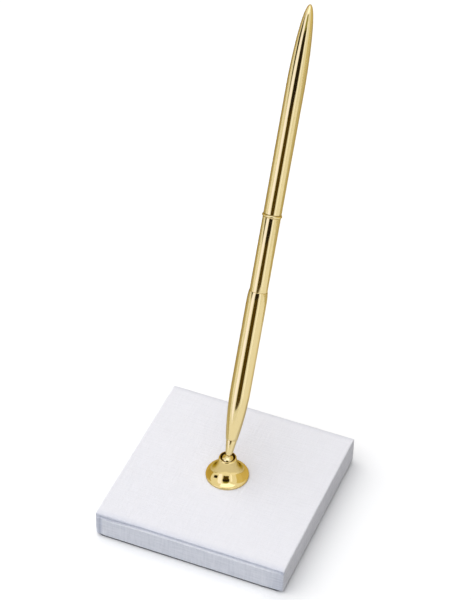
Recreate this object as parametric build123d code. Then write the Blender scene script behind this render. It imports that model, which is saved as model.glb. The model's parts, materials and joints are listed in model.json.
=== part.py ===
from build123d import *
import os
from math import cos, degrees, radians, sin

# Pen stand: a cloth-covered board with a swivel holder, and the twist-action pen that stands in it.
# Millimetres, +Z up. The origin is on the table, under the middle of the base and the holder.
# The pen leans back, away from the face at -Y.

# Base
BASE_SIDE = 82.5  # square, over the cloth
BASE_CORNER_RADIUS = 1.2  # upright edges, over the cloth
TOP_ROLL_RADIUS = 1.1  # padded top edge, over the cloth
BOARD_THICKNESS = 9.0
WADDING_THICKNESS = 2.4
CLOTH_THICKNESS = 0.4
CLOTH_MARGIN = 14.0  # cloth turned under the board
FELT_THICKNESS = 1.0
FELT_INSET = 0.8  # felt's edge back from the cloth's side
FELT_CORNER_RADIUS = 2.0

# Holder, with heights from the top of the base
FLANGE_DIAMETER = 18.0
FLANGE_RIM_HEIGHT = 1.0
FLANGE_RIM_ROUND = 0.4
FLARE_FOOT_INSET = 0.5  # flare's foot back from the flange's edge
FLARE_FOOT_EASE = 1.9  # the flare's pull in from its foot
FLARE_FOOT_RISE = 0.9  # and up from it
FLARE_NECK_HEIGHT = 8.9  # where the flare meets the neck
FLARE_NECK_EASE = 3.6  # how far down the neck stays steep
FLARE_NECK_SPREAD = 1.25  # how much it widens on the way
NECK_WALL = 0.4
MOUTH_DIAMETER = 6.0  # inside the lip
LIP_WIRE_RADIUS = 0.33  # rolled lip
LIP_ABOVE_BALL = 2.0
KEEPER_ABOVE_BALL = 1.45  # edge inside the mouth that keeps the ball in
KEEPER_SLOPE = 26.0  # where the keeper's cone meets the ball, up from level
BALL_DIAMETER = 6.35
BALL_HEIGHT = 8.05  # ball's centre
BALL_RUNNING = 0.08  # ball to keeper and to cup
CHAMBER_RUNNING = 0.1  # ball to the chamber's wall
CUP_RUNNING = 0.08  # cup to the chamber's wall
CUP_TOP_DROP = 1.3  # cup's top below the ball's centre
CUP_BOTTOM_DROP = 3.4
CUP_BORE_DIAMETER = 4.9
SPRING_WIRE_DIAMETER = 0.5
SPRING_DIAMETER = 5.5  # at the middle of the wire
SPRING_TURNS = 2.5
SPRING_SEAT_GAP = 0.02

# Stud that holds the bell down
STUD_HEAD_HEIGHT = 2.0
STUD_DIAMETER = 4.0
STUD_HOLE_CLEARANCE = 0.2
STUD_END_PROUD = 0.6  # past the nut
WASHER_DIAMETER = 9.0
WASHER_THICKNESS = 0.8
NUT_ACROSS_FLATS = 7.0
NUT_HEIGHT = 3.2
RECESS_DIAMETER = 12.0
RECESS_SPARE = 0.4  # recess past the stud's end
THREAD_CLEARANCE = 0.03  # threads are drawn as plain rounds

# Pen's lean as it stands
LEAN_ANGLE = 28.0  # from upright
LEAN_AZIMUTH = 93.4  # from +X towards +Y

# Pen, from the nose end to the tail's point
NOSE_DEPTH = 1.0  # nose end below the ball's centre
NOSE_LENGTH = 10.5  # nose end to the seam
NOSE_END_DIAMETER = 2.3
NOSE_WAIST_DIAMETER = 2.96
NOSE_WAIST_LENGTH = 4.3  # nose end to the waist
NOSE_SEAM_DIAMETER = 4.5
NOSE_SPIGOT_DIAMETER = 4.0
NOSE_SPIGOT_LENGTH = 6.0
SOCKET_CLEARANCE = 0.06  # nose in the ball
SOCKET_HOLE_DIAMETER = 2.0  # lets the writing point through the ball
LOWER_BARREL_LENGTH = 63.8
LOWER_BARREL_DIAMETER = 8.35
BARREL_MOUTH_DIAMETER = 4.8
BARREL_TAPER_LENGTH = 23.0
SHOULDER_LENGTH = 5.3
SHOULDER_TOP_DIAMETER = 7.7
BARREL_FUNNEL_LENGTH = 11.5  # inside, from the spigot up to the bore
BARREL_BORE_DIAMETER = 6.6  # lower barrel and mid tube
MID_TUBE_LENGTH = 31.2
MID_TUBE_DIAMETER = 7.4
RING_WIDTH = 1.2
RING_DIAMETER = 8.2
RING_EDGE_DIAMETER = 7.5
TAIL_LENGTH = 85.5
TAIL_MOUTH_DIAMETER = 7.4
TAIL_DIAMETER = 7.6
TAIL_BORE_DIAMETER = 6.4
TAIL_BORE_CONE = 22.0  # bore's closed end
TAIL_TAPER_LENGTH = 35.3
TAIL_TAPER_EASE = 15.0  # how far the full girth carries into the taper
TAIL_POINT_EASE = 2.7  # rounds the point
EDGE_BREAK = 0.12  # broken edges of the barrels
FIT = 0.05  # pieces pushed or screwed together, and sliding pieces
END_GAP = 0.1  # turning faces

# Twist action
COUPLING_LENGTH = 20.0
COUPLING_BORE_DIAMETER = 5.0
GUIDE_PLUG_LENGTH = 10.0
GUIDE_DIAMETER = 4.8
GUIDE_BORE_DIAMETER = 3.6
GUIDE_END_PROUD = 0.3
BUSH_LENGTH = 3.0
CAM_LENGTH = 23.0
RETAINER_WIDTH = 1.0
RETAINER_DIAMETER = 5.8
CARRIER_LENGTH = 12.0
CARRIER_SOCKET_DEPTH = 4.0
CARRIER_PIN_HEIGHT = 7.0
PIN_DIAMETER = 1.0
PIN_TAIL = 1.2  # pin past the axis, away from the slots
PIN_END_GAP = 0.2  # pin's end to the tail's bore
CAM_SLOT_CLEARANCE = 0.1
TWIST_ANGLE = 180.0
POINT_TRAVEL = 2.6

# Refill
POINT_RECESS = 0.4  # drawn-in point, inside the nose end
POINT_BALL_DIAMETER = 1.0
POINT_BALL_SHOW = 0.25
POINT_BALL_GAP = 0.02
POINT_RIM_DIAMETER = 1.15
POINT_TIP_LENGTH = 1.2
NEEDLE_DIAMETER = 1.5
NEEDLE_LENGTH = 7.0
POINT_STEP_LENGTH = 0.8
POINT_COLLAR_DIAMETER = 2.4
POINT_COLLAR_LENGTH = 2.5
POINT_PLUG_LENGTH = 4.5
INK_TUBE_DIAMETER = 3.0
INK_TUBE_WALL = 0.35
BORE_STEP_SPARE = 0.2  # nose bore's steps past the refill at full reach

OVERCUT = 1.0  # how far a cutting solid runs past what it cuts

# Heights of the base
board_bottom = FELT_THICKNESS + CLOTH_THICKNESS
board_top = board_bottom + BOARD_THICKNESS
wadding_top = board_top + WADDING_THICKNESS
base_top = wadding_top + CLOTH_THICKNESS

# Holder
ball_radius = BALL_DIAMETER / 2
ball_z = base_top + BALL_HEIGHT
lip_z = ball_z + LIP_ABOVE_BALL
lip_ring_radius = MOUTH_DIAMETER / 2 + LIP_WIRE_RADIUS
chamber_radius = ball_radius + CHAMBER_RUNNING
stud_radius = STUD_DIAMETER / 2
stud_hole_radius = stud_radius + STUD_HOLE_CLEARANCE
stud_head_top = base_top + STUD_HEAD_HEIGHT
recess_depth = WASHER_THICKNESS + NUT_HEIGHT + STUD_END_PROUD + RECESS_SPARE
recess_top = board_bottom + recess_depth

# Places along the pen, from the ball's centre
nose_end = -NOSE_DEPTH
nose_waist = nose_end + NOSE_WAIST_LENGTH
seam = nose_end + NOSE_LENGTH
spigot_end = seam + NOSE_SPIGOT_LENGTH
lower_top = seam + LOWER_BARREL_LENGTH
ring_low = lower_top + MID_TUBE_LENGTH
ring_high = ring_low + RING_WIDTH
tail_low = ring_high + END_GAP
tail_end = tail_low + TAIL_LENGTH
tail_taper = tail_end - TAIL_TAPER_LENGTH
bush_high = tail_low + BUSH_LENGTH
cam_low = bush_high + END_GAP
cam_high = cam_low + CAM_LENGTH
retainer_low = cam_high + END_GAP
retainer_high = retainer_low + RETAINER_WIDTH
pin_place = cam_low + (CAM_LENGTH + POINT_TRAVEL) / 2
carrier_low = pin_place - CARRIER_PIN_HEIGHT
point_end = nose_end + POINT_RECESS
needle_end = point_end + NEEDLE_LENGTH
collar_low = needle_end + POINT_STEP_LENGTH
tube_low = collar_low + POINT_COLLAR_LENGTH
tube_high = carrier_low + CARRIER_SOCKET_DEPTH - FIT

pen_stance = Pos(0, 0, ball_z) * Rot(0, 0, LEAN_AZIMUTH) * Rot(0, LEAN_ANGLE, 0)


def turned(edges):
    """Solid of revolution about Z, from a closed outline of (radius, height)."""
    return revolve(Plane.XZ * make_face(edges), axis=Axis.Z)


def turned_straight(*points):
    """The same, from an outline with straight sides only."""
    return turned(Polyline(*points, close=True).edges())


def round_bar(radius, low, high):
    return Pos(0, 0, low) * Cylinder(radius, high - low, align=(Align.CENTER, Align.CENTER, Align.MIN))


def tube(radius, bore_radius, low, high):
    return round_bar(radius, low, high) - round_bar(bore_radius, low - OVERCUT, high + OVERCUT)


def radial_bar(radius, start, end, height):
    """Round bar along X at a height on the axis."""
    return Pos(start, 0, height) * Rot(0, 90, 0) * round_bar(radius, 0, end - start)


def block(side, corner_radius, low, high):
    return Pos(0, 0, low) * extrude(RectangleRounded(side, side, corner_radius), high - low)


def rolled_block(side, corner_radius, roll_radius, low, high):
    """Block with rounded top edges; the roll stays within the corner and the height."""
    solid = block(side, corner_radius, low, high)
    roll = min(roll_radius, 0.95 * corner_radius, 0.95 * (high - low))
    return fillet(solid.edges().group_by(Axis.Z)[-1], roll)


def cloth_core():
    """What the cloth is wrapped around: board and wadding together."""
    return rolled_block(
        BASE_SIDE - 2 * CLOTH_THICKNESS,
        BASE_CORNER_RADIUS - CLOTH_THICKNESS,
        TOP_ROLL_RADIUS - CLOTH_THICKNESS,
        board_bottom,
        wadding_top,
    )


def base_board():
    above = block(2 * BASE_SIDE, BASE_CORNER_RADIUS, board_top, base_top + OVERCUT)
    recess = round_bar(RECESS_DIAMETER / 2, board_bottom - OVERCUT, recess_top)
    return cloth_core() - above - recess - round_bar(stud_hole_radius, 0, base_top)


def top_wadding():
    below = block(2 * BASE_SIDE, BASE_CORNER_RADIUS, 0, board_top)
    return cloth_core() - below - round_bar(stud_hole_radius, 0, base_top)


def cloth_cover():
    outside = rolled_block(BASE_SIDE, BASE_CORNER_RADIUS, TOP_ROLL_RADIUS, FELT_THICKNESS, base_top)
    opening = block(BASE_SIDE - 2 * CLOTH_MARGIN, BASE_CORNER_RADIUS, 0, board_bottom)
    return outside - cloth_core() - opening - round_bar(stud_hole_radius, 0, base_top + OVERCUT)


def underside_felt():
    return block(BASE_SIDE - 2 * FELT_INSET, FELT_CORNER_RADIUS, 0, FELT_THICKNESS)


def holder_bell():
    flange = FLANGE_DIAMETER / 2
    rim_top = base_top + FLANGE_RIM_HEIGHT
    foot = (flange - FLARE_FOOT_INSET, rim_top)
    neck = (chamber_radius + NECK_WALL, base_top + FLARE_NECK_HEIGHT)
    flare = Bezier(
        foot,
        (foot[0] - FLARE_FOOT_EASE, rim_top + FLARE_FOOT_RISE),
        (neck[0] + FLARE_NECK_SPREAD, neck[1] - FLARE_NECK_EASE),
        neck,
    )
    # the keeper is a cone that clears the ball by its running clearance
    slope = radians(KEEPER_SLOPE)
    touch = ball_radius + BALL_RUNNING
    keeper_edge = ((touch - KEEPER_ABOVE_BALL * sin(slope)) / cos(slope), ball_z + KEEPER_ABOVE_BALL)
    keeper_low = (chamber_radius, ball_z + (touch - chamber_radius * cos(slope)) / sin(slope))
    rim_side_top = (flange, rim_top - FLANGE_RIM_ROUND)
    rim_round = TangentArc(rim_side_top, (flange - FLANGE_RIM_ROUND, rim_top), tangent=(0, 1))
    outline = [
        Line((chamber_radius, base_top), (flange, base_top)),
        Line((flange, base_top), rim_side_top),
        rim_round,
        Line(rim_round @ 1, foot),
        flare,
        Line(neck, (neck[0], lip_z)),
        Line((neck[0], lip_z), (lip_ring_radius, lip_z)),
        Line((lip_ring_radius, lip_z), keeper_edge),
        Line(keeper_edge, keeper_low),
        Line(keeper_low, (chamber_radius, base_top)),
    ]
    return turned(outline) + Pos(0, 0, lip_z) * Torus(lip_ring_radius, LIP_WIRE_RADIUS)


def swivel_ball():
    """Ball with a socket for the nose, along the pen's axis."""
    mouth = ball_radius + OVERCUT
    end_radius = NOSE_END_DIAMETER / 2 + SOCKET_CLEARANCE
    waist_radius = NOSE_WAIST_DIAMETER / 2 + SOCKET_CLEARANCE
    floor = nose_end - FIT
    socket = turned_straight(
        (0, floor),
        (end_radius, floor),
        (waist_radius, nose_waist),
        (waist_radius, nose_waist + mouth),
        (0, nose_waist + mouth),
    )
    point_hole = round_bar(SOCKET_HOLE_DIAMETER / 2, -mouth, 0)
    return pen_stance * (Sphere(ball_radius) - socket - point_hole)


def friction_cup():
    ring = tube(
        chamber_radius - CUP_RUNNING,
        CUP_BORE_DIAMETER / 2,
        ball_z - CUP_BOTTOM_DROP,
        ball_z - CUP_TOP_DROP,
    )
    return ring - Pos(0, 0, ball_z) * Sphere(ball_radius + BALL_RUNNING)


def cup_spring():
    low = stud_head_top + SPRING_SEAT_GAP + SPRING_WIRE_DIAMETER / 2
    rise = ball_z - CUP_BOTTOM_DROP - SPRING_SEAT_GAP - SPRING_WIRE_DIAMETER / 2 - low
    coil = Helix(rise / SPRING_TURNS, rise, SPRING_DIAMETER / 2, center=(0, 0, low))
    wire = Plane(coil @ 0, z_dir=coil % 0) * Circle(SPRING_WIRE_DIAMETER / 2)
    return sweep(wire, path=coil, is_frenet=True)


def mounting_stud():
    head = round_bar(chamber_radius - THREAD_CLEARANCE, base_top, stud_head_top)
    end = recess_top - WASHER_THICKNESS - NUT_HEIGHT - STUD_END_PROUD
    return head + round_bar(stud_radius, end, base_top)


def clamp_washer():
    return tube(
        WASHER_DIAMETER / 2, stud_radius + STUD_HOLE_CLEARANCE, recess_top - WASHER_THICKNESS, recess_top
    )


def clamp_nut():
    high = recess_top - WASHER_THICKNESS
    hexagon = RegularPolygon(NUT_ACROSS_FLATS / 2, 6, major_radius=False)
    body = Pos(0, 0, high - NUT_HEIGHT) * extrude(hexagon, NUT_HEIGHT)
    return body - round_bar(stud_radius + THREAD_CLEARANCE, high - NUT_HEIGHT - OVERCUT, high + OVERCUT)


def nose_cone():
    spigot = NOSE_SPIGOT_DIAMETER / 2
    tube_bore = INK_TUBE_DIAMETER / 2 + FIT
    collar_bore = POINT_COLLAR_DIAMETER / 2 + FIT
    needle_bore = NEEDLE_DIAMETER / 2 + FIT
    collar_step = needle_end - POINT_TRAVEL - BORE_STEP_SPARE
    tube_step = tube_low - POINT_TRAVEL - BORE_STEP_SPARE
    return turned_straight(
        (needle_bore, nose_end),
        (NOSE_END_DIAMETER / 2 - EDGE_BREAK, nose_end),
        (NOSE_END_DIAMETER / 2, nose_end + EDGE_BREAK),
        (NOSE_WAIST_DIAMETER / 2, nose_waist),
        (NOSE_SEAM_DIAMETER / 2, seam),
        (spigot, seam),
        (spigot, spigot_end),
        (tube_bore, spigot_end),
        (tube_bore, tube_step),
        (collar_bore, tube_step),
        (collar_bore, collar_step),
        (needle_bore, collar_step),
    )


def lower_barrel():
    """Grip barrel: a long round taper, a straight grip and a rounded shoulder."""
    grip = LOWER_BARREL_DIAMETER / 2
    mouth = BARREL_MOUTH_DIAMETER / 2
    spigot_bore = NOSE_SPIGOT_DIAMETER / 2 + FIT
    bore = BARREL_BORE_DIAMETER / 2
    shoulder = SHOULDER_TOP_DIAMETER / 2
    taper_top = (grip, seam + BARREL_TAPER_LENGTH)
    shoulder_low = (grip, lower_top - SHOULDER_LENGTH)
    taper_low = (mouth, seam + EDGE_BREAK)
    shoulder_high = (shoulder, lower_top - EDGE_BREAK)
    funnel_low = spigot_end + FIT
    outline = [
        Line((spigot_bore, seam), (mouth - EDGE_BREAK, seam)),
        Line((mouth - EDGE_BREAK, seam), taper_low),
        TangentArc(taper_top, taper_low, tangent=(0, -1)),
        Line(taper_top, shoulder_low),
        TangentArc(shoulder_low, shoulder_high, tangent=(0, 1)),
        Line(shoulder_high, (shoulder - EDGE_BREAK, lower_top)),
        Line((shoulder - EDGE_BREAK, lower_top), (bore, lower_top)),
        Line((bore, lower_top), (bore, funnel_low + BARREL_FUNNEL_LENGTH)),
        Line((bore, funnel_low + BARREL_FUNNEL_LENGTH), (spigot_bore, funnel_low)),
        Line((spigot_bore, funnel_low), (spigot_bore, seam)),
    ]
    return turned(outline)


def thread_coupling():
    return tube(
        BARREL_BORE_DIAMETER / 2 - FIT,
        COUPLING_BORE_DIAMETER / 2,
        lower_top - COUPLING_LENGTH / 2,
        lower_top + COUPLING_LENGTH / 2,
    )


def mid_tube():
    return tube(MID_TUBE_DIAMETER / 2, BARREL_BORE_DIAMETER / 2, lower_top, ring_low)


def centre_ring():
    bore = BARREL_BORE_DIAMETER / 2
    edge = RING_EDGE_DIAMETER / 2
    crest = (RING_DIAMETER / 2, (ring_low + ring_high) / 2)
    outline = [
        Line((bore, ring_low), (edge, ring_low)),
        ThreePointArc((edge, ring_low), crest, (edge, ring_high)),
        Line((edge, ring_high), (bore, ring_high)),
        Line((bore, ring_high), (bore, ring_low)),
    ]
    return turned(outline)


def guide_tube():
    """Slotted tube with a plug that fits the mid tube and carries the ring."""
    plug = round_bar(BARREL_BORE_DIAMETER / 2 - FIT, ring_low - GUIDE_PLUG_LENGTH, ring_high)
    guide_high = retainer_high + GUIDE_END_PROUD
    body = plug + round_bar(GUIDE_DIAMETER / 2, ring_high, guide_high)
    body -= round_bar(GUIDE_BORE_DIAMETER / 2, ring_low - GUIDE_PLUG_LENGTH - OVERCUT, guide_high + OVERCUT)
    half_slot = PIN_DIAMETER / 2 + FIT
    reach = GUIDE_DIAMETER
    slot = Pos(reach / 2, 0, pin_place - POINT_TRAVEL / 2) * Box(reach, 2 * half_slot, POINT_TRAVEL)
    for height in (pin_place, pin_place - POINT_TRAVEL):
        slot += radial_bar(half_slot, 0, reach, height)
    return body - slot


def twist_bush():
    return tube(TAIL_BORE_DIAMETER / 2 - FIT, GUIDE_DIAMETER / 2 + FIT, tail_low, bush_high)


def cam_sleeve():
    """Sleeve with a helical slot: a turn of the tail draws the pin down along it."""
    outer = TAIL_BORE_DIAMETER / 2 - FIT
    inner = GUIDE_DIAMETER / 2 + FIT
    middle = (outer + inner) / 2
    half_slot = PIN_DIAMETER / 2 + CAM_SLOT_CLEARANCE
    end_angle = degrees(half_slot / inner)
    end_rise = POINT_TRAVEL * end_angle / TWIST_ANGLE
    path = Helix(
        POINT_TRAVEL * 360 / TWIST_ANGLE,
        POINT_TRAVEL + 2 * end_rise,
        middle,
        center=(0, 0, pin_place - POINT_TRAVEL - end_rise),
    )
    section = Plane(path @ 0, x_dir=(1, 0, 0), z_dir=path % 0) * Rectangle(2 * (outer - inner), 2 * half_slot)
    slot = sweep(section, path=path, is_frenet=True)
    return tube(outer, inner, cam_low, cam_high) - Rot(0, 0, -TWIST_ANGLE - end_angle) * slot


def cam_retainer():
    return tube(RETAINER_DIAMETER / 2, GUIDE_DIAMETER / 2 + FIT, retainer_low, retainer_high)


def tail_barrel():
    bore = TAIL_BORE_DIAMETER / 2
    mouth = TAIL_MOUTH_DIAMETER / 2
    girth = TAIL_DIAMETER / 2
    mouth_side = (mouth, tail_low + EDGE_BREAK)
    mouth_edge = (mouth - EDGE_BREAK, tail_low)
    outline = [
        Line((bore, tail_low), mouth_edge),
        Line(mouth_edge, mouth_side),
        Line(mouth_side, (girth, tail_taper)),
        Bezier(
            (girth, tail_taper),
            (girth, tail_taper + TAIL_TAPER_EASE),
            (TAIL_POINT_EASE, tail_end),
            (0, tail_end),
        ),
        Line((0, tail_end), (0, tail_taper + TAIL_BORE_CONE)),
        Line((0, tail_taper + TAIL_BORE_CONE), (bore, tail_taper)),
        Line((bore, tail_taper), (bore, tail_low)),
    ]
    return turned(outline)


def refill_carrier():
    body = round_bar(GUIDE_BORE_DIAMETER / 2 - FIT, carrier_low, carrier_low + CARRIER_LENGTH)
    socket = round_bar(
        INK_TUBE_DIAMETER / 2 + FIT, carrier_low - OVERCUT, carrier_low + CARRIER_SOCKET_DEPTH
    )
    pin_hole = radial_bar(PIN_DIAMETER / 2 + THREAD_CLEARANCE, -PIN_TAIL - FIT, GUIDE_DIAMETER, pin_place)
    return body - socket - pin_hole


def cam_pin():
    return radial_bar(PIN_DIAMETER / 2, -PIN_TAIL, TAIL_BORE_DIAMETER / 2 - PIN_END_GAP, pin_place)


def ink_tube():
    outer = INK_TUBE_DIAMETER / 2
    return tube(outer, outer - INK_TUBE_WALL, tube_low, tube_high)


def point_holder():
    """Writing point: a needle with a cup for its ball, a collar and a plug in the ink tube."""
    collar = POINT_COLLAR_DIAMETER / 2
    needle = NEEDLE_DIAMETER / 2
    plug = INK_TUBE_DIAMETER / 2 - INK_TUBE_WALL - FIT
    rim = point_end + POINT_BALL_SHOW
    body = turned_straight(
        (0, rim),
        (POINT_RIM_DIAMETER / 2, rim),
        (needle, rim + POINT_TIP_LENGTH),
        (needle, needle_end),
        (collar, collar_low),
        (collar, tube_low),
        (plug, tube_low),
        (plug, tube_low + POINT_PLUG_LENGTH),
        (0, tube_low + POINT_PLUG_LENGTH),
    )
    ball_centre = point_end + POINT_BALL_DIAMETER / 2
    return body - Pos(0, 0, ball_centre) * Sphere(POINT_BALL_DIAMETER / 2 + POINT_BALL_GAP)


def point_ball():
    return Pos(0, 0, point_end + POINT_BALL_DIAMETER / 2) * Sphere(POINT_BALL_DIAMETER / 2)


upright_pieces = [
    base_board,
    top_wadding,
    cloth_cover,
    underside_felt,
    holder_bell,
    swivel_ball,
    friction_cup,
    cup_spring,
    mounting_stud,
    clamp_washer,
    clamp_nut,
]
pen_pieces = [
    nose_cone,
    lower_barrel,
    thread_coupling,
    mid_tube,
    centre_ring,
    guide_tube,
    twist_bush,
    cam_sleeve,
    cam_retainer,
    tail_barrel,
    refill_carrier,
    cam_pin,
    ink_tube,
    point_holder,
    point_ball,
]

os.makedirs("parts", exist_ok=True)
for make in upright_pieces:
    export_step(make(), f"parts/{make.__name__}.step")
for make in pen_pieces:
    export_step(pen_stance * make(), f"parts/{make.__name__}.step")
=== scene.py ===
import json
from math import asin, atan, cos, exp, hypot, pi, radians, sin, tau

import bmesh
import bpy
from mathutils import Matrix, Vector, noise
from mathutils.geometry import interpolate_bezier


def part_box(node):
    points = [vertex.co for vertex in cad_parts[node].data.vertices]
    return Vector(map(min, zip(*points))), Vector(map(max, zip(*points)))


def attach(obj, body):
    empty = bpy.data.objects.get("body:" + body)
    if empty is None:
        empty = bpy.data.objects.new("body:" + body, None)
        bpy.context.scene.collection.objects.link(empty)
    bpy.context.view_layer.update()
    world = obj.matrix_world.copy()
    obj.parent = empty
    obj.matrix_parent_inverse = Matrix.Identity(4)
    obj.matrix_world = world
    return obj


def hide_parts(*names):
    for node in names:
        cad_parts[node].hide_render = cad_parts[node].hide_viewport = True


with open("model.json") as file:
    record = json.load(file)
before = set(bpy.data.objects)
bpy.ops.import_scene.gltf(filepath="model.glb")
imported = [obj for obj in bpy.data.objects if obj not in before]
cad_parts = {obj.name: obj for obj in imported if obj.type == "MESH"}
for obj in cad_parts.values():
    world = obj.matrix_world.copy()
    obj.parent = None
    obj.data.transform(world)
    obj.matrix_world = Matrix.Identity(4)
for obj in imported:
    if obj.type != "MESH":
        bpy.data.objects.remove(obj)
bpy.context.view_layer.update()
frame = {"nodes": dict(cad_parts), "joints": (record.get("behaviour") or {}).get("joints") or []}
print("frame loaded:", len(frame["nodes"]), "nodes")

mm = 0.001
turnSteps = 144  # faces round a turned piece
sharpAngle = radians(32)

joints = {joint["name"]: joint for joint in frame["joints"]}
ballCentre = Vector(joints["swivel_tilt"]["pos_m"])
penUp = Vector(joints["pen_lift"]["axis"])
penStance = Matrix.Translation(ballCentre) @ penUp.to_track_quat("Z", "Y").to_matrix().to_4x4()
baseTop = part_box("cloth_cover")[1].z
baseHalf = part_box("cloth_cover")[1].x
bellStance = Matrix.Translation((0, 0, baseTop))


def smooth(low, high, value):
    t = min(max((value - low) / (high - low), 0), 1)
    return t * t * (3 - 2 * t)


def hump(middle, width, value):
    return exp(-(((value - middle) / width) ** 2))


# where a node starts and ends along the pen, in mm from the ball's centre
def reach(node):
    heights = [(v.co - ballCentre).dot(penUp) / mm for v in frame["nodes"][node].data.vertices]
    return min(heights), max(heights)


# a node's largest radius about the pen's axis, in mm
def girth(node):
    return max((v.co - ballCentre).cross(penUp).length / mm for v in frame["nodes"][node].data.vertices)


# node graph helpers
def newFinish(name):
    finish = bpy.data.materials.new(name)
    finish.use_nodes = True
    return finish, finish.node_tree, finish.node_tree.nodes["Principled BSDF"]


def addNode(tree, kind, settings=None, inputs=None):
    node = tree.nodes.new(kind)
    for key, value in (settings or {}).items():
        setattr(node, key, value)
    for key, value in (inputs or {}).items():
        if isinstance(value, bpy.types.NodeSocket):
            tree.links.new(value, node.inputs[key])
        else:
            node.inputs[key].default_value = value
    return node


def calc(tree, operation, first, second=0.0):
    return addNode(tree, "ShaderNodeMath", {"operation": operation}, {0: first, 1: second}).outputs[0]


def between(tree, value, low, high):
    ranged = addNode(tree, "ShaderNodeMapRange", None, {"Value": value, "To Min": low, "To Max": high})
    return ranged.outputs["Result"]


def blendColour(tree, factor, first, second):
    mix = addNode(tree, "ShaderNodeMix", {"data_type": "RGBA"}, {"Factor": factor})
    mix.inputs["A"].default_value = (*first, 1)
    mix.inputs["B"].default_value = (*second, 1)
    return mix.outputs["Result"]


def grain(tree, place, size, detail=3.0, rough=0.5):
    inputs = {"Vector": place, "Scale": 1 / (size * mm), "Detail": detail, "Roughness": rough}
    return addNode(tree, "ShaderNodeTexNoise", None, inputs).outputs["Fac"]


def addBump(tree, shader, strength, depth, height):
    inputs = {"Strength": strength, "Distance": depth * mm, "Height": height}
    bump = addNode(tree, "ShaderNodeBump", None, inputs)
    tree.links.new(bump.outputs["Normal"], shader.inputs["Normal"])


# object coordinates seen from a stance, squeezed along each axis
def placed(tree, stance, squeeze=(1, 1, 1)):
    coords = addNode(tree, "ShaderNodeTexCoord").outputs["Object"]
    inputs = {"Vector": coords, "Location": stance.translation, "Rotation": stance.to_euler()}
    turned = addNode(tree, "ShaderNodeMapping", {"vector_type": "TEXTURE"}, inputs).outputs["Vector"]
    scaled = addNode(tree, "ShaderNodeMapping", None, {"Vector": turned, "Scale": squeeze})
    return scaled.outputs["Vector"]


# finishes
polishedGold = {
    "penTones": ((0.735, 0.60, 0.295), (0.76, 0.63, 0.33)),
    "bellTones": ((0.77, 0.60, 0.25), (0.80, 0.64, 0.29)),
    "mouthShadeTone": (0.16, 0.09, 0.025, 1),  # painted shade inside the bell's mouth, dark as the deep gap round the ball
    "dullRoughness": 0.35,
    "mouthShadeRadius": 3.1,  # mm from the bell's axis
    "mouthShadeFade": 0.1,
    "edgeTint": (0.42, 0.30, 0.10, 1),
    "roughness": (0.05, 0.11),
    "smudge": 9.0,  # mm
    "polishLine": 0.05,  # lines run round the piece
    "lineSqueeze": (0.05, 0.05, 1),
    "polishDepth": 0.0004,
    "ripple": 3.5,
    "rippleDepth": 0.0016,
}


def goldFinish(name, stance, tones, shadedMouth=False):
    finish, tree, shader = newFinish(name)
    place = placed(tree, stance)
    smudges = grain(tree, place, polishedGold["smudge"], 4.0, 0.6)
    lines = grain(tree, placed(tree, stance, polishedGold["lineSqueeze"]), polishedGold["polishLine"], 2.0)
    ripples = grain(tree, place, polishedGold["ripple"], 1.0)
    colour = blendColour(tree, smudges, *tones)
    roughness = between(tree, smudges, *polishedGold["roughness"])
    # painted shade: inside the mouth the bell turns dark brown and rougher, standing for the shade deep in
    # the gap round the ball
    if shadedMouth:
        across = placed(tree, stance, (1, 1, 0))
        radius = addNode(tree, "ShaderNodeVectorMath", {"operation": "LENGTH"}, {0: across}).outputs["Value"]
        mouthShadeEdge = polishedGold["mouthShadeRadius"] * mm
        fade = {
            "Value": radius, "From Min": mouthShadeEdge, "From Max": mouthShadeEdge + polishedGold["mouthShadeFade"] * mm,
            "To Min": 1.0, "To Max": 0.0,
        }
        mouthShade = addNode(tree, "ShaderNodeMapRange", None, fade).outputs["Result"]
        mix = addNode(tree, "ShaderNodeMix", {"data_type": "RGBA"}, {"Factor": mouthShade, "A": colour})
        mix.inputs["B"].default_value = polishedGold["mouthShadeTone"]
        colour = mix.outputs["Result"]
        roughness = calc(tree, "ADD", roughness, calc(tree, "MULTIPLY", mouthShade, polishedGold["dullRoughness"]))
    tree.links.new(colour, shader.inputs["Base Color"])
    tree.links.new(roughness, shader.inputs["Roughness"])
    height = calc(
        tree, "ADD",
        calc(tree, "MULTIPLY", lines, polishedGold["polishDepth"]),
        calc(tree, "MULTIPLY", ripples, polishedGold["rippleDepth"]),
    )
    addBump(tree, shader, 1.0, 1.0, height)
    shader.inputs["Metallic"].default_value = 1.0
    shader.inputs["Specular Tint"].default_value = polishedGold["edgeTint"]
    return finish


whiteCloth = {
    "thread": 0.42,  # mm from thread to thread
    "threadLight": (0.855, 0.85, 0.885),
    "threadDark": (0.73, 0.73, 0.77),
    "depth": 0.045,
    "slub": 3.0,
    "wander": 0.25,  # of a thread, how far it strays
    "streak": 0.9,  # mm across a thick thread, which runs on for streakLength
    "streakLength": 9.0,
    "slubRise": 7.0,
    "slubAndGrazeTint": (0.4, 2.0),  # contrast of thick and thin threads on the top and, raised as painted light grazing the weave, on the sides
    # painted shade: the colour the cloth is darkened towards over the front roll and in grooves, pinch and
    # pleats
    "paintedShadeTint": (0.70, 0.72, 0.78, 1),
    "cloud": 14.0,
    "roughness": (0.78, 0.92),
    "sheen": 0.12,
}
clothMarks = ("hang", "paintedFoldShade")  # marks on the cloth: how much it hangs as a side, which raises the thread contrast as painted light grazing the weave, and painted shade over the front and back roll and in grooves, pinch and pleats


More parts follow.
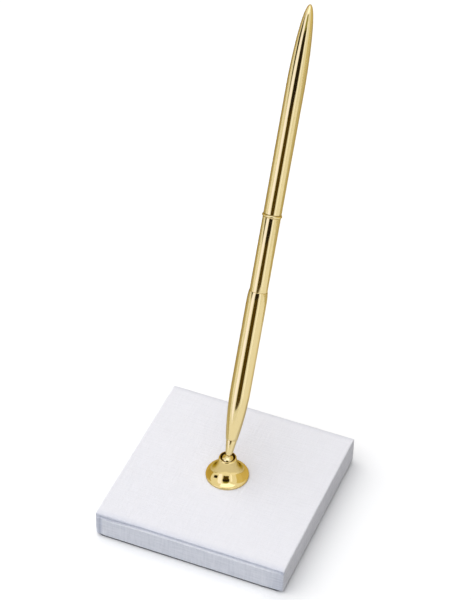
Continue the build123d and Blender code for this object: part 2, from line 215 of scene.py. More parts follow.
def clothFinish():
    finish, tree, shader = newFinish("white_cloth")
    uv = addNode(tree, "ShaderNodeUVMap", {"uv_map": "cut"}).outputs["UV"]
    wobble = {"Vector": uv, "Scale": 1 / (whiteCloth["slub"] * mm), "Detail": 2.0}
    wander = addNode(tree, "ShaderNodeTexNoise", None, wobble).outputs["Color"]
    stray = {0: wander, "Scale": whiteCloth["wander"] * whiteCloth["thread"] * mm}
    shift = addNode(tree, "ShaderNodeVectorMath", {"operation": "SCALE"}, stray).outputs["Vector"]
    moved = addNode(tree, "ShaderNodeVectorMath", {"operation": "ADD"}, {0: uv, 1: shift}).outputs["Vector"]
    axes = addNode(tree, "ShaderNodeSeparateXYZ", None, {"Vector": moved})
    counts = [calc(tree, "DIVIDE", axes.outputs[i], whiteCloth["thread"] * mm) for i in (0, 1)]
    # a plain weave: each thread rises over every second one that it crosses
    rises = [calc(tree, "SINE", calc(tree, "MULTIPLY", calc(tree, "FRACT", count), pi)) for count in counts]
    cells = calc(tree, "ADD", calc(tree, "FLOOR", counts[0]), calc(tree, "FLOOR", counts[1]))
    over = calc(tree, "PINGPONG", cells, 1.0)
    warp = calc(tree, "MULTIPLY", rises[0], between(tree, over, 0.45, 1.0))
    weft = calc(tree, "MULTIPLY", rises[1], between(tree, over, 1.0, 0.45))
    threads = calc(tree, "MAXIMUM", warp, weft)
    clouds = grain(tree, uv, whiteCloth["cloud"], 4.0, 0.6)
    # thick and thin threads both ways
    run = whiteCloth["streak"] / whiteCloth["streakLength"]
    streaks = []
    for scale in ((1, run, 1), (run, 1, 1)):
        drawn = addNode(tree, "ShaderNodeMapping", None, {"Vector": uv, "Scale": scale}).outputs["Vector"]
        streaks.append(grain(tree, drawn, whiteCloth["streak"], 2.0, 0.6))
    slubs = calc(tree, "MULTIPLY", calc(tree, "ADD", *streaks), 0.5)
    tint = calc(tree, "MULTIPLY", threads, between(tree, clouds, 0.85, 1.05))
    marks = [addNode(tree, "ShaderNodeAttribute", {"attribute_name": mark}) for mark in clothMarks]
    hang, paintedFoldShade = [mark.outputs["Fac"] for mark in marks]
    # thick and thin threads show more on the sides: real thread tone, raised there as painted light grazing
    # the weave
    slubAndGrazeTint = between(tree, hang, *whiteCloth["slubAndGrazeTint"])
    tint = calc(tree, "ADD", tint, calc(tree, "MULTIPLY", between(tree, slubs, -1.0, 1.0), slubAndGrazeTint))
    colour = blendColour(tree, tint, whiteCloth["threadDark"], whiteCloth["threadLight"])
    # painted shade: the colour is darkened towards the shade tint by the cloth's fold mark
    multiply = {"data_type": "RGBA", "blend_type": "MULTIPLY"}
    shade = addNode(tree, "ShaderNodeMix", multiply, {"Factor": paintedFoldShade, "A": colour})
    shade.inputs["B"].default_value = whiteCloth["paintedShadeTint"]
    tree.links.new(shade.outputs["Result"], shader.inputs["Base Color"])
    tree.links.new(between(tree, threads, *reversed(whiteCloth["roughness"])), shader.inputs["Roughness"])
    fuzz = grain(tree, uv, 0.15, 2.0)
    height = calc(tree, "ADD", threads, calc(tree, "MULTIPLY", fuzz, 0.3))
    height = calc(tree, "ADD", height, calc(tree, "MULTIPLY", slubs, whiteCloth["slubRise"]))
    addBump(tree, shader, 0.8, whiteCloth["depth"], height)
    shader.inputs["Sheen Weight"].default_value = whiteCloth["sheen"]
    shader.inputs["Specular IOR Level"].default_value = 0.25
    return finish


# finishes of the pieces inside: two tones mixed by a grain, with roughness and bump from it
insideFinishes = {
    "fibreboard": {
        "tones": ((0.30, 0.21, 0.13), (0.46, 0.35, 0.23)), "grain": 0.9, "squeeze": (1, 1, 3),
        "roughness": (0.75, 0.95), "depth": 0.06, "metallic": 0.0,
    },
    "wadding": {
        "tones": ((0.72, 0.72, 0.70), (0.88, 0.88, 0.86)), "grain": 0.6, "squeeze": (1, 1, 1),
        "roughness": (0.9, 1.0), "depth": 0.15, "metallic": 0.0,
    },
    "grey_felt": {
        "tones": ((0.10, 0.10, 0.105), (0.20, 0.20, 0.205)), "grain": 0.35, "squeeze": (1, 1, 1),
        "roughness": (0.9, 1.0), "depth": 0.12, "metallic": 0.0,
    },
    "white_nylon": {
        "tones": ((0.78, 0.78, 0.74), (0.85, 0.85, 0.82)), "grain": 1.5, "squeeze": (1, 1, 1),
        "roughness": (0.3, 0.45), "depth": 0.006, "metallic": 0.0,
    },
    "bright_steel": {
        "tones": ((0.52, 0.53, 0.55), (0.64, 0.65, 0.67)), "grain": 0.4, "squeeze": (1, 1, 12),
        "roughness": (0.2, 0.35), "depth": 0.004, "metallic": 1.0,
    },
    "plain_brass": {
        "tones": ((0.62, 0.42, 0.15), (0.76, 0.55, 0.24)), "grain": 0.5, "squeeze": (1, 1, 10),
        "roughness": (0.22, 0.38), "depth": 0.004, "metallic": 1.0,
    },
    "black_plastic": {
        "tones": ((0.012, 0.012, 0.013), (0.03, 0.03, 0.032)), "grain": 0.3, "squeeze": (1, 1, 1),
        "roughness": (0.4, 0.6), "depth": 0.01, "metallic": 0.0,
    },
}


def insideFinish(name):
    spec = insideFinishes[name]
    finish, tree, shader = newFinish(name)
    speckle = grain(tree, placed(tree, Matrix.Identity(4), spec["squeeze"]), spec["grain"], 5.0, 0.65)
    tree.links.new(blendColour(tree, speckle, *spec["tones"]), shader.inputs["Base Color"])
    tree.links.new(between(tree, speckle, *spec["roughness"]), shader.inputs["Roughness"])
    addBump(tree, shader, 0.7, spec["depth"], speckle)
    shader.inputs["Metallic"].default_value = spec["metallic"]
    return finish


penGold = goldFinish("polished_gold_pen", penStance, polishedGold["penTones"])
bellGold = goldFinish("polished_gold_bell", bellStance, polishedGold["bellTones"], shadedMouth=True)
clothWeave = clothFinish()
finishes = {name: insideFinish(name) for name in insideFinishes}
print("finishes made:", len(finishes) + 3)


def addObject(name, bm, finish):
    mesh = bpy.data.meshes.new(name)
    bm.to_mesh(mesh)
    bm.free()
    added = bpy.data.objects.new(name, mesh)
    bpy.context.scene.collection.objects.link(added)
    mesh.materials.append(finish)
    return added


# makes an object of a bmesh, smooth but for its sharp edges, ties it to its body and hides the node it stands
# in for
def keepPiece(name, bm, finish, body, node):
    for face in bm.faces:
        face.smooth = True
    for edge in bm.edges:
        edge.smooth = edge.calc_face_angle(0) < sharpAngle
    piece = addObject(name, bm, finish)
    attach(piece, body)
    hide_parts(node)
    return piece


# an arc that leaves its start along the axis and bends to its end
def uprightArc(start, end, steps):
    across, along = end[0] - start[0], end[1] - start[1]
    radius = (across * across + along * along) / (2 * across)
    sweep = 2 * atan(across / along) / steps
    bends = [sweep * i for i in range(steps + 1)]
    return [(start[0] + radius * (1 - cos(bend)), start[1] + radius * sin(bend)) for bend in bends]


def bentLine(start, startHandle, endHandle, end, steps):
    corners = [Vector((radius, 0, height)) for radius, height in (start, startHandle, endHandle, end)]
    return [(p.x, p.z) for p in interpolate_bezier(*corners, steps + 1)]


# spins an outline of (radius, height) in mm; rounds gives a radius to corners by their place in the list
def turned(outline, stance, rounds=None, closed=True):
    bm = bmesh.new()
    points = [bm.verts.new((radius * mm, 0, height * mm)) for radius, height in outline]
    ends = points[1:] + points[:1] if closed else points[1:]
    for pair in zip(points, ends):
        bm.edges.new(pair)
    for corner, radius in (rounds or {}).items():
        bmesh.ops.bevel(
            bm, geom=[points[corner]], offset=radius * mm, offset_type="OFFSET", affect="VERTICES",
            segments=4, profile=0.5, material=-1,
        )
    bmesh.ops.spin(
        bm, geom=bm.verts[:] + bm.edges[:], cent=(0, 0, 0), axis=(0, 0, 1), angle=tau, steps=turnSteps,
        use_merge=True,
    )
    bmesh.ops.remove_doubles(bm, verts=bm.verts, dist=1e-7)
    bmesh.ops.recalc_face_normals(bm, faces=bm.faces)
    bmesh.ops.transform(bm, matrix=stance, verts=bm.verts)
    return bm


# holder bell: heights from the top of the base, in mm
holderBell = {
    "rimHeight": 1.0, "rimRound": 0.38, "rimChamfer": (0.05, 0.12),
    "footInset": 0.5, "footEase": 2.36, "footRise": 1.1, "neckEase": 4.74, "neckSpread": 0.75,
    "lipAboveBall": 2.33, "lipInside": 0.25, "lipOutside": 0.6, "lipDepth": 1.7,
    "lipStart": 24, "lipTurn": 126,  # degrees
    "mouthRadius": 3.0,
    "keeperRadius": 2.914, "keeperAboveBall": 1.45, "keeperLow": 0.71, "chamberRadius": 3.275,
}


def makeBell():
    s = holderBell
    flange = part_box("holder_bell")[1].x / mm
    ball = (ballCentre.z - baseTop) / mm
    foot = (flange - s["footInset"], s["rimHeight"])
    # the lip is drawn in over a long round outside and turned over a short one inside
    inside, top = s["lipInside"], ball + s["lipAboveBall"]
    crest = s["mouthRadius"] + inside
    start = radians(s["lipStart"])
    bends = [start + (pi / 2 - start) * i / 20 for i in range(21)]
    lip = [(crest + s["lipOutside"] * cos(bend), top + s["lipDepth"] * (sin(bend) - 1)) for bend in bends]
    turns = [pi / 2 + radians(s["lipTurn"]) * i / 16 for i in range(1, 17)]
    neck = lip[0]
    lip += [(crest + inside * cos(turn), top + inside * (sin(turn) - 1)) for turn in turns]
    flare = bentLine(
        foot, (foot[0] - s["footEase"], foot[1] + s["footRise"]),
        (neck[0] + s["neckSpread"], neck[1] - s["neckEase"]), neck, 48,
    )
    keeper = [(s["keeperRadius"], ball + s["keeperAboveBall"]), (s["chamberRadius"], ball + s["keeperLow"])]
    across, up = s["rimChamfer"]
    outline = [(s["chamberRadius"], 0), (flange - across, 0), (flange, up), (flange, s["rimHeight"])]
    rimTop = len(outline) - 1
    bm = turned(outline + flare[:-1] + lip + keeper, bellStance, {rimTop: s["rimRound"]})
    return keepPiece("holder_bell_turned", bm, bellGold, "base", "holder_bell")


# swivel ball, about the pen's axis
swivelBall = {
    "radius": 3.175, "socketFloor": -1.05, "floorRadius": 1.21, "mouthRadius": 1.5, "mouthRound": 0.08,
    "holeRadius": 1.0,
}


def makeBall():
    s = swivelBall
    radius = s["radius"]
    mouthTurn = asin(s["mouthRadius"] / radius)
    holeTurn = pi - asin(s["holeRadius"] / radius)
    turns = [mouthTurn + (holeTurn - mouthTurn) * i / 72 for i in range(73)]
    outline = [(radius * sin(turn), radius * cos(turn)) for turn in turns]
    outline += [(s["holeRadius"], s["socketFloor"]), (s["floorRadius"], s["socketFloor"])]
    bm = turned(outline, penStance, {0: s["mouthRound"]})
    return keepPiece("swivel_ball_turned", bm, penGold, "ball", "swivel_ball")


# the pen's nose, from its end up to the seam and its spigot
noseCone = {
    "endRadius": 1.15, "endRound": 0.16, "waistRadius": 1.48, "waistFromEnd": 4.3,
    "seamRadius": 2.25, "seamRound": 0.1, "seamGap": 0.04,
    "spigotRadius": 2.0, "bores": ((1.55, 6.9), (1.25, 3.6), (0.8, -1.0)),
}


def makeNose():
    s = noseCone
    end, spigotEnd = reach("nose_cone")
    seam = reach("lower_barrel")[0] - s["seamGap"]
    outline = [
        (s["endRadius"], end), (s["waistRadius"], end + s["waistFromEnd"]), (s["seamRadius"], seam),
        (s["spigotRadius"], seam), (s["spigotRadius"], spigotEnd),
    ]
    height = spigotEnd
    for bore, low in s["bores"]:
        outline += [(bore, height), (bore, low)]
        height = low
    bm = turned(outline, penStance, {0: s["endRound"], 2: s["seamRound"]})
    return keepPiece("nose_cone_turned", bm, penGold, "pen", "nose_cone")


# grip barrel: a long round taper, a straight grip and a rounded shoulder
lowerBarrel = {
    "mouthRadius": 2.42, "taperLength": 23.0, "shoulderLength": 5.3, "shoulderRadius": 3.85,
    "edge": 0.12, "bore": 3.3, "spigotBore": 2.05, "spigotDepth": 6.05, "funnelLength": 11.5,
}


def makeLowerBarrel():
    s = lowerBarrel
    low, high = reach("lower_barrel")
    grip = girth("lower_barrel")
    taperTop, shoulderLow = (grip, low + s["taperLength"]), (grip, high - s["shoulderLength"])
    taper = uprightArc(taperTop, (s["mouthRadius"], low), 40)[::-1]
    shoulder = uprightArc(shoulderLow, (s["shoulderRadius"], high), 20)
    funnel = low + s["spigotDepth"]
    outside = taper + shoulder
    inside = [(s["bore"], high), (s["bore"], funnel + s["funnelLength"])]
    inside += [(s["spigotBore"], funnel), (s["spigotBore"], low)]
    bm = turned(outside + inside, penStance, {0: s["edge"], len(outside) - 1: s["edge"]})
    return keepPiece("lower_barrel_turned", bm, penGold, "pen", "lower_barrel")


midTube = {"bore": 3.3, "edge": 0.14, "seat": 0.04}


def makeMidTube():
    low, high = reach("mid_tube")
    radius = girth("mid_tube")
    outline = [(radius, low), (radius, high), (midTube["bore"], high), (midTube["bore"], low)]
    bm = turned(outline, penStance, {0: midTube["seat"], 1: midTube["edge"]})
    return keepPiece("mid_tube_turned", bm, penGold, "pen", "mid_tube")


centreRing = {"edgeRadius": 3.72, "bore": 3.3}


def makeRing():
    low, high = reach("centre_ring")
    crest = (girth("centre_ring"), (low + high) / 2)
    rise = uprightArc(crest, (centreRing["edgeRadius"], high), 12)
    fall = uprightArc(crest, (centreRing["edgeRadius"], low), 12)[::-1]
    outline = fall + rise[1:] + [(centreRing["bore"], high), (centreRing["bore"], low)]
    bm = turned(outline, penStance)
    return keepPiece("centre_ring_turned", bm, penGold, "pen", "centre_ring")


tailBarrel = {
    "mouthRadius": 3.7, "radius": 3.8, "taperLength": 35.3, "taperEase": 15.0, "pointEase": 2.7,
    "bore": 3.2, "boreCone": 22.0, "edge": 0.14,
}


def makeTail():
    s = tailBarrel
    low, high = reach("tail_barrel")
    taper = high - s["taperLength"]
    point = bentLine(
        (s["radius"], taper), (s["radius"], taper + s["taperEase"]), (s["pointEase"], high), (0, high), 64
    )
    bore = [(0, taper + s["boreCone"]), (s["bore"], taper), (s["bore"], low)]
    outline = bore + [(s["mouthRadius"], low)] + point
    bm = turned(outline, penStance, {len(bore): s["edge"]}, closed=False)
    return keepPiece("tail_barrel_turned", bm, penGold, "pen_tail", "tail_barrel")


for make in (makeBell, makeBall, makeNose, makeLowerBarrel, makeMidTube, makeRing, makeTail):
    make()
print("gold pieces turned: 7")


# cloth over the board: sizes in mm, drops are from the top of the base
clothCover = {
    "cornerRadius": 1.1, "softRoll": (3.4, 0.8), "crispRoll": (0.7, 0.7), "rollSteps": 14, "thickness": 0.38,
    "lines": 96, "crowding": 0.8,  # grid lines each way, drawn towards the edges
    "straight": 34.0,  # from a side's middle, how far the grid lines run straight out
    "setBack": 0.35, "flapBack": 0.1,  # of the side above the flap, and of the flap
    "bandDrop": 1.55, "bandWidth": 0.55, "bandDepth": 0.6,  # the groove between roll and flap
    "flapDrop": 2.3, "flapSag": 0.9, "flapStart": 3.0, "flapLip": 0.05,
    "sagReach": (-18, -38), "edgeWave": 17, "edgeWander": 0.15,
    "flapFade": 0.7, "fadeReach": (9, 1.5),  # near the front corner the flap lies closer
    "foldPlace": 1.0, "foldHeight": 0.3, "groovePlace": 2.0, "grooveDepth": 0.3,
    "pinchDrop": 2.0, "pinchDepth": 0.6,
    "pleatDepth": 0.15, "pleatPitch": 1.45, "pleatReach": 4.5,
    "rollPaintedShade": 0.5,  # painted shade on the front and back, over the roll and down to the flap's edge
    "boardTop": 2.6, "deepest": -0.32,  # the board lies just behind this
    "waveSize": 9.0, "waveDepth": 0.05,
    "sideDrop": 11.7, "edgeRadius": 0.5, "cornerTuck": 0.55, "margin": 14.0, "holeRadius": 2.3,
}


# drop of the flap's folded edge, which hangs lower at its start
def flapEdge(along):
    s = clothCover
    sag = s["flapSag"] * smooth(*s["sagReach"], along)
    return s["flapDrop"] + sag + s["edgeWander"] * noise.noise(Vector((along / s["edgeWave"], 2.3, 0)))


# how far a point of the cloth's side stands out from the plain side, and how much painted shade it gets
# over the roll and in the groove, pinch and pleats; half a turn of the base repeats it
def sideRelief(place, way, drop):
    s = clothCover
    half = baseHalf / mm
    if way.y > 0.7 or way.x < -0.7:
        place, way = -place, -way
    facing = smooth(0.55, 0.95, -way.y)  # 1 on the flap's side, 0 on the plain side
    corner = 4 * (way.x * way.y) ** 2
    fromStart, fromFront = place.x + half, half - place.x
    relief = s["waveDepth"] * (noise.noise(Vector((place.x, place.y, drop)) / s["waveSize"]) - 0.6)
    # above the flap's folded edge the side stands back
    flap = smooth(s["flapStart"] - 0.25, s["flapStart"] + 0.2, fromStart)
    flap *= 1 - s["flapFade"] * smooth(*s["fadeReach"], fromFront)
    edge = flapEdge(place.x)
    over = smooth(edge - 0.25, edge + 0.15, drop)
    band = hump(s["bandDrop"] + edge - s["flapDrop"], s["bandWidth"], drop)
    back = s["setBack"] + s["bandDepth"] * band
    relief -= facing * (back + (s["flapBack"] - back) * over * flap)
    relief += s["flapLip"] * facing * flap * over * (2 * hump(edge + 0.3, 0.9, drop) - 1)
    # upright fold by the start of the flap
    upright = facing * smooth(1.5, 2.7, drop)
    groove = upright * hump(s["groovePlace"], 0.4, fromStart)
    relief += upright * s["foldHeight"] * hump(s["foldPlace"], 0.45, fromStart)
    relief -= s["grooveDepth"] * groove
    # the folded corner that faces front: a pinch under the roll and small pleats below it
    fromCorner = hypot(half - place.x, half + place.y)
    pinch = hump(s["pinchDrop"], 0.5, drop) * hump(0.5, 1.1, fromCorner)
    pleated = smooth(3.2, 4.2, drop) * hump(0.4, s["pleatReach"], fromCorner)
    pleat = sin(tau * drop / s["pleatPitch"]) * pleated
    relief += s["pleatDepth"] * (pleat - pleated) - s["pinchDepth"] * pinch
    relief -= s["cornerTuck"] * corner * smooth(8.5, 12, drop)
    # painted shade: the front and back darken over the roll and down to the flap's edge, and in the upright
    # groove, the pinch and the pleats' hollows
    paintedRollShade = s["rollPaintedShade"] * facing * (1 - flap * smooth(edge - 0.6, edge, drop))
    shade = paintedRollShade + 0.5 * groove + pinch + 0.35 * max(-pleat, 0)
    relief = max(relief, s["deepest"] - s["bandDepth"] * smooth(s["boardTop"], s["boardTop"] - 0.4, drop))
    return relief, min(shade, 1)


def makeCloth():
    s = clothCover
    half = baseHalf / mm
    flatX, flatY = half - s["crispRoll"][0], half - s["softRoll"][0]
    softDrop, crispDrop = s["softRoll"][1], s["crispRoll"][1]
    bm = bmesh.new()
    hang, paintedFoldShade = [bm.verts.layers.float.new(mark) for mark in clothMarks]
    bmesh.ops.create_grid(bm, x_segments=s["lines"], y_segments=s["lines"], size=1)
    for v in bm.verts:
        x, y = [(1 - s["crowding"]) * t + s["crowding"] * sin(pi / 2 * t) for t in v.co.xy]
        v.co = (x * flatX, y * flatY, 0)
    hidden = [f for f in bm.faces if f.calc_center_median().length < s["holeRadius"]]
    bmesh.ops.delete(bm, geom=hidden, context="FACES")
    for v in bm.verts:
        if v.is_boundary and v.co.length < 2 * s["holeRadius"]:
            v.co = v.co.normalized() * s["holeRadius"]

    # where the rim of the top comes down: its place on the base's outline and the way out from there
    def outlineAt(co):
        front = abs(co.y) / flatY >= abs(co.x) / flatX
        along, flat, face = (co.x, flatX, co.y) if front else (co.y, flatY, co.x)
        true, run = half - s["cornerRadius"], abs(along)
        full = true + s["cornerRadius"] * pi / 4
        run += max(run - s["straight"], 0) * ((full - s["straight"]) / (flat - s["straight"]) - 1)
        turn = max(run - true, 0) / s["cornerRadius"]
        place = [min(run, true) + s["cornerRadius"] * sin(turn), true + s["cornerRadius"] * cos(turn)]
        way = [sin(turn), cos(turn)]
        signs = [1 if along > 0 else -1, 1 if face > 0 else -1]
        pairs = [[a * sign for a, sign in zip(pair, signs)] for pair in (place, way)]
        if not front:
            pairs = [pair[::-1] for pair in pairs]
        return [co.copy()] + [Vector((*pair, 0)) for pair in pairs]

    edges = [e for e in bm.edges if e.is_boundary and min(v.co.length for v in e.verts) > 2 * s["holeRadius"]]
    rim = {v: outlineAt(v.co) for e in edges for v in e.verts}

    def nextRing(ring, where):
        made = bmesh.ops.extrude_edge_only(bm, edges=ring[0])["geom"]
        grown = {}
        for v in made:
            if isinstance(v, bmesh.types.BMVert):
                grown[v] = next(ring[1][e.other_vert(v)] for e in v.link_edges if e.other_vert(v) in ring[1])
                v.co, v[hang], v[paintedFoldShade] = where(*grown[v])
        outer = [e for e in made if isinstance(e, bmesh.types.BMEdge) and all(v in grown for v in e.verts)]
        return outer, grown

    def rollDepth(way):
        return crispDrop + (softDrop - crispDrop) * way.y * way.y

    def onRoll(bend):
        def where(top, out, way):
            drop = rollDepth(way) * (1 - cos(bend))
            relief, shade = sideRelief(out, way, drop)
            place = top.lerp(out, sin(bend)) + way * relief * sin(bend) - Vector((0, 0, drop))
            # on the roll the painted shade grows as the cloth bends over the edge
            return place, sin(bend) ** 4, shade * sin(bend) ** 1.3
        return where

    def onSide(ladder):
        def where(top, out, way):
            depth = rollDepth(way)
            drop = depth + (ladder - softDrop) * (s["sideDrop"] - depth) / (s["sideDrop"] - softDrop)
            relief, shade = sideRelief(out, way, drop)
            return out + way * relief - Vector((0, 0, drop)), 1, shade
        return where

    def under(inset, drop):
        def where(top, out, way):
            relief, shade = sideRelief(out, way, s["sideDrop"])
            return out + way * (relief - inset) - Vector((0, 0, drop)), 1, shade
        return where

    def turnedIn(top, out, way):
        inside = 1 - s["margin"] / half
        return Vector((out.x * inside, out.y * inside, -bottom)), 0, 0

    ring = (edges, rim)
    for i in range(1, s["rollSteps"] + 1):
        ring = nextRing(ring, onRoll(pi / 2 * i / s["rollSteps"]))
    flapLow = s["flapDrop"] + s["flapSag"] + 0.8
    ladders = [softDrop + (flapLow - softDrop) * i / 32 for i in range(1, 33)]
    ladders += [flapLow + (s["sideDrop"] - flapLow) * i / 24 for i in range(1, 25)]
    for ladder in ladders:
        ring = nextRing(ring, onSide(ladder))
    bottom = s["sideDrop"] + s["edgeRadius"]
    for i in range(1, 5):
        bend = pi / 2 * i / 4
        inset = s["edgeRadius"] * (1 - cos(bend))
        ring = nextRing(ring, under(inset, s["sideDrop"] + s["edgeRadius"] * sin(bend)))
    ring = nextRing(ring, turnedIn)
    bmesh.ops.recalc_face_normals(bm, faces=bm.faces)
    bmesh.ops.scale(bm, vec=(mm, mm, mm), verts=bm.verts)
    bmesh.ops.translate(bm, vec=(0, 0, baseTop), verts=bm.verts)
    bm.normal_update()
    layer = bm.loops.layers.uv.new("cut")
    for face in bm.faces:
        axis = max(range(3), key=lambda i: abs(face.normal[i]))
        across, up = ((1, 2), (0, 2), (0, 1))[axis]
        for loop in face.loops:
            loop[layer].uv = (loop.vert.co[across], loop.vert.co[up])
    cover = keepPiece("cloth_cover_wrapped", bm, clothWeave, "base", "cloth_cover")
    thick = cover.modifiers.new("thickness", "SOLIDIFY")
    thick.thickness = s["thickness"] * mm
    thick.offset = -1
    return cover


makeCloth()
print("cloth wrapped")


# underside felt
underFelt = {"cornerRadius": 2.0, "thickness": 0.95, "lines": 40}


def makeFelt():
    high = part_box("underside_felt")[1]
    half = high.x / mm
    core = half - underFelt["cornerRadius"]
    bm = bmesh.new()
    bmesh.ops.create_grid(bm, x_segments=underFelt["lines"], y_segments=underFelt["lines"], size=half)
    for v in bm.verts:
        overX, overY = max(abs(v.co.x) - core, 0), max(abs(v.co.y) - core, 0)
        if overX > 0 and overY > 0:
            pull = max(overX, overY) / hypot(overX, overY)
            v.co.x = (core + overX * pull) * (1 if v.co.x > 0 else -1)
            v.co.y = (core + overY * pull) * (1 if v.co.y > 0 else -1)
    bmesh.ops.scale(bm, vec=(mm, mm, mm), verts=bm.verts)
    bmesh.ops.translate(bm, vec=(0, 0, high.z), verts=bm.verts)
    felt = keepPiece("underside_felt_pad", bm, finishes["grey_felt"], "base", "underside_felt")
    thick = felt.modifiers.new("thickness", "SOLIDIFY")
    thick.thickness = underFelt["thickness"] * mm
    thick.offset = -1
    return felt


makeFelt()

# wadding under the cloth
topWadding = {
    "inset": 1.3, "cuts": 24, "crown": 0.35, "drawIn": 0.5, "holeRadius": 2.6,
    "play": 0.1, "lift": 0.02,  # room under the cloth and over the board
}


def makeWadding():
    s = topWadding
    low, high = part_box("top_wadding")
    half = high.x / mm - s["inset"]
    thick = (high.z - low.z) / mm - s["play"]
    bm = bmesh.new()
    bmesh.ops.create_cube(bm, size=2)
    bmesh.ops.subdivide_edges(bm, edges=bm.edges, cuts=s["cuts"], use_grid_fill=True)
    for v in bm.verts:
        x, y, z = v.co
        edge = max(abs(x), abs(y))
        drawn = 1 - s["drawIn"] / half * (1 - z * z) * 0.5 - 0.004 * (abs(x) * abs(y)) ** 8
        top = 1 - s["crown"] / thick * smooth(0.8, 1.0, edge)
        v.co = (x * half * drawn, y * half * drawn, (z + 1) / 2 * thick * top)
    level = [f for f in bm.faces if abs(f.normal.z) > 0.5]
    centre = [f for f in level if hypot(*f.calc_center_median().xy) < s["holeRadius"]]
    bmesh.ops.delete(bm, geom=centre, context="FACES")
    rims = [e for e in bm.edges if e.is_boundary]
    for v in {v for e in rims for v in e.verts}:
        across = Vector((v.co.x, v.co.y, 0)).normalized() * s["holeRadius"]
        v.co = (across.x, across.y, v.co.z)
    bmesh.ops.bridge_loops(bm, edges=rims)
    bmesh.ops.recalc_face_normals(bm, faces=bm.faces)
    bmesh.ops.scale(bm, vec=(mm, mm, mm), verts=bm.verts)
    bmesh.ops.translate(bm, vec=(0, 0, low.z + s["lift"] * mm), verts=bm.verts)
    pad = keepPiece("top_wadding_pad", bm, finishes["wadding"], "base", "top_wadding")
    return pad


makeWadding()
print("felt and wadding laid")

# the pieces inside keep their own shape and get their finish
insidePieces = {
    "fibreboard": ["base_board"],
    "white_nylon": ["friction_cup", "twist_bush"],
    "bright_steel": [
        "cup_spring", "mounting_stud", "clamp_washer", "clamp_nut", "cam_retainer", "cam_pin", "point_ball",
    ],
    "plain_brass": ["thread_coupling", "ink_tube", "point_holder"],
    "black_plastic": ["guide_tube", "cam_sleeve", "refill_carrier"],
}
for finishName, names in insidePieces.items():
    for name in names:
        mesh = frame["nodes"][name].data
        mesh.materials.clear()
        mesh.materials.append(finishes[finishName])
print("inside pieces finished:", sum(len(names) for names in insidePieces.values()))


# studio: white floor and surround, soft lamps, and cards that only polished metal shows
studio = {
    "floorSize": 4.0, "floorDrop": 0.05,  # metres each way, and mm below the felt
    "floorColour": (1.0, 1.0, 1.0, 1),  # as it is seen
    "floorBounce": (0.60, 0.60, 0.60, 1),  # as it lights the base
    "ambient": 0.35, "ambientColour": (0.97, 0.98, 1.0, 1),
}
lamps = {
    # azimuth from the front towards the right, elevation, how wide it looks (degrees), strength, colour
    "keyLamp": (-80, 65, 88, 0.80, (1.0, 0.99, 0.985)),
    "fillLamp": (-5, 12, 40, 0.12, (0.35, 0.62, 1.0)),
}
standingCards = {
    # azimuth, distance, width, lower and upper edge in metres, brightness, colour;
    # the dark ones in front draw the stripe on the pen
    "frontSlot": (13, 0.9, 0.68, 0.105, 0.42, 0.09, (1.0, 0.62, 0.05)),
    "frontSlotHigh": (13.5, 0.9, 0.80, 0.42, 0.78, 0.025, (1.0, 0.7, 0.3)),
    "frontSlotTop": (13, 0.9, 0.60, 0.78, 1.12, 0.36, (1.0, 0.98, 0.2)),
    "leftShade": (-61, 3.5, 1.5, 0.50, 1.60, 0.03, (1.0, 0.7, 0.3)),
    "leftScreen": (-30, 0.9, 0.42, 0.0, 1.3, 1.4, (0.95, 0.97, 1.35)),
    "rightScreen": (51, 0.9, 0.2, 0.0, 0.7, 1.3, (0.97, 1.0, 1.2)),
    "leftWall": (-107, 1.2, 0.75, 0.0, 1.6, 0.60, (1.0, 0.78, 0.25)),
    "backLeft": (-152, 1.2, 1.4, 0.0, 1.6, 0.72, (1.0, 0.80, 0.32)),
    "backRight": (152, 1.2, 1.4, 0.0, 1.6, 0.74, (1.0, 0.82, 0.36)),
    "rightWall": (106, 1.2, 0.8, 0.0, 1.6, 0.80, (1.0, 0.86, 0.45)),
}
levelCards = {
    # place, width and depth in metres, brightness, colour; the high one faces down
    "leftTable": ((-0.55, 0.40, 0.0005), (0.96, 1.0), 0.64, (1.0, 0.93, 0.68)),
    "rightTable": ((0.55, 0.60, 0.0005), (0.96, 1.0), 0.70, (1.0, 0.93, 0.68)),
    "topScreen": ((0.15, -0.375, 1.0), (0.8, 0.69), 1.7, (0.97, 1.0, 1.2)),
}


def seenWhite(tree):
    path = addNode(tree, "ShaderNodeLightPath")
    both = calc(tree, "MAXIMUM", path.outputs["Is Camera Ray"], path.outputs["Is Glossy Ray"])
    return calc(tree, "MAXIMUM", both, path.outputs["Is Transmission Ray"])


def makeFloor():
    bm = bmesh.new()
    bmesh.ops.create_grid(bm, x_segments=2, y_segments=2, size=studio["floorSize"])
    bmesh.ops.translate(bm, vec=(0, 0, -studio["floorDrop"] * mm), verts=bm.verts)
    finish, tree, shader = newFinish("floor_paper")
    tree.nodes.remove(shader)
    colour = addNode(tree, "ShaderNodeMix", {"data_type": "RGBA"}, {"Factor": seenWhite(tree)})
    colour.inputs["A"].default_value = studio["floorBounce"]
    colour.inputs["B"].default_value = studio["floorColour"]
    paper = addNode(tree, "ShaderNodeBsdfDiffuse", None, {"Color": colour.outputs["Result"]})
    tree.links.new(paper.outputs[0], tree.nodes["Material Output"].inputs["Surface"])
    floor = addObject("floor", bm, finish)


def makeWorld():
    world = bpy.data.worlds.new("studio")
    bpy.context.scene.world = world
    world.use_nodes = True
    tree = world.node_tree
    ambient = tree.nodes["Background"]
    ambient.inputs["Color"].default_value = studio["ambientColour"]
    ambient.inputs["Strength"].default_value = studio["ambient"]
    white = addNode(tree, "ShaderNodeBackground", None, {"Color": (1, 1, 1, 1), "Strength": 1.0})
    mix = addNode(
        tree, "ShaderNodeMixShader", None, {0: seenWhite(tree), 1: ambient.outputs[0], 2: white.outputs[0]}
    )
    tree.links.new(mix.outputs[0], tree.nodes["World Output"].inputs["Surface"])


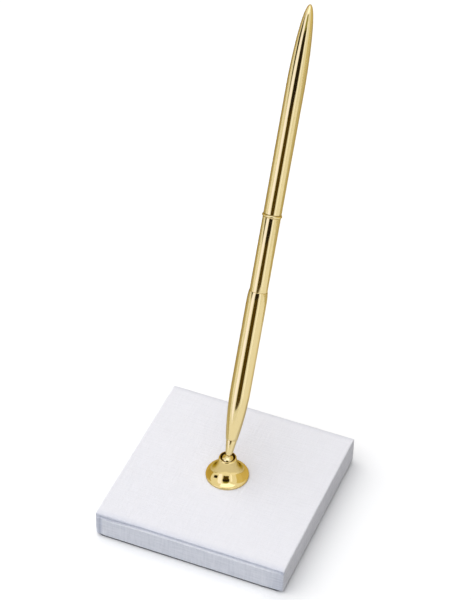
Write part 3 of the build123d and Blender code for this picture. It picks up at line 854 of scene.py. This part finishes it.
def towards(azimuth, elevation):
    az, el = radians(azimuth), radians(elevation)
    return Vector((sin(az) * cos(el), -cos(az) * cos(el), sin(el)))


def facing(place, way):
    return Matrix.Translation(place) @ Vector(way).to_track_quat("Z", "Y").to_matrix().to_4x4()


def makeLamp(name, azimuth, elevation, width, strength, colour):
    lamp = bpy.data.lights.new(name, "SUN")
    lamp.energy = strength * pi  # so that a strength of 1 shows a colour as it is written
    lamp.angle = radians(width)
    lamp.color = colour
    holder = bpy.data.objects.new(name, lamp)
    bpy.context.scene.collection.objects.link(holder)
    holder.matrix_world = facing(towards(azimuth, elevation), towards(azimuth, elevation))
    holder.visible_camera = holder.visible_glossy = False


def makeCard(name, stance, size, brightness, colour):
    bm = bmesh.new()
    bmesh.ops.create_grid(bm, x_segments=1, y_segments=1, size=0.5)
    bmesh.ops.scale(bm, vec=(size[0], size[1], 1), verts=bm.verts)
    bmesh.ops.transform(bm, matrix=stance, verts=bm.verts)
    finish, tree, shader = newFinish(name)
    tree.nodes.remove(shader)
    glow = addNode(tree, "ShaderNodeEmission", None, {"Color": (*colour, 1), "Strength": brightness})
    tree.links.new(glow.outputs[0], tree.nodes["Material Output"].inputs["Surface"])
    card = addObject(name, bm, finish)
    card.visible_camera = card.visible_diffuse = card.visible_shadow = card.visible_transmission = False


makeFloor()
makeWorld()
for name, spec in lamps.items():
    makeLamp(name, *spec)
for name, (azimuth, distance, width, low, high, *spec) in standingCards.items():
    way = towards(azimuth, 0)
    place = way * distance + Vector((0, 0, (low + high) / 2))
    makeCard(name, facing(place, -way), (width, high - low), *spec)
for name, (place, *spec) in levelCards.items():
    makeCard(name, facing(place, (0, 0, -1 if place[2] > 0.5 else 1)), *spec)
print("studio set:", len(lamps), "lamps,", len(standingCards) + len(levelCards), "cards")

# camera at the photograph's viewing angle; aside and raised are in its own view plane, in mm
viewpoint = {
    "azimuth": 20.906, "elevation": 41.814, "roll": 1.757,
    "distance": 1057.45, "aside": 3.72, "raised": 81.965, "lens": 152.27, "sensor": 36.0,
}


def makeCamera():
    s = viewpoint
    back = towards(s["azimuth"], s["elevation"])
    roll = radians(s["roll"])
    levelRight = Vector((0, 0, 1)).cross(back).normalized()
    levelUp = back.cross(levelRight)
    right = levelRight * cos(roll) + levelUp * sin(roll)
    up = levelUp * cos(roll) - levelRight * sin(roll)
    data = bpy.data.cameras.new("camera")
    data.lens, data.sensor_width = s["lens"], s["sensor"]
    camera = bpy.data.objects.new("camera", data)
    bpy.context.scene.collection.objects.link(camera)
    turn = Matrix((right, up, back)).transposed().to_4x4()
    place = (back * s["distance"] + right * s["aside"] + up * s["raised"]) * mm
    camera.matrix_world = Matrix.Translation(place) @ turn
    bpy.context.scene.camera = camera


makeCamera()
bpy.context.scene.view_settings.view_transform = "Standard"
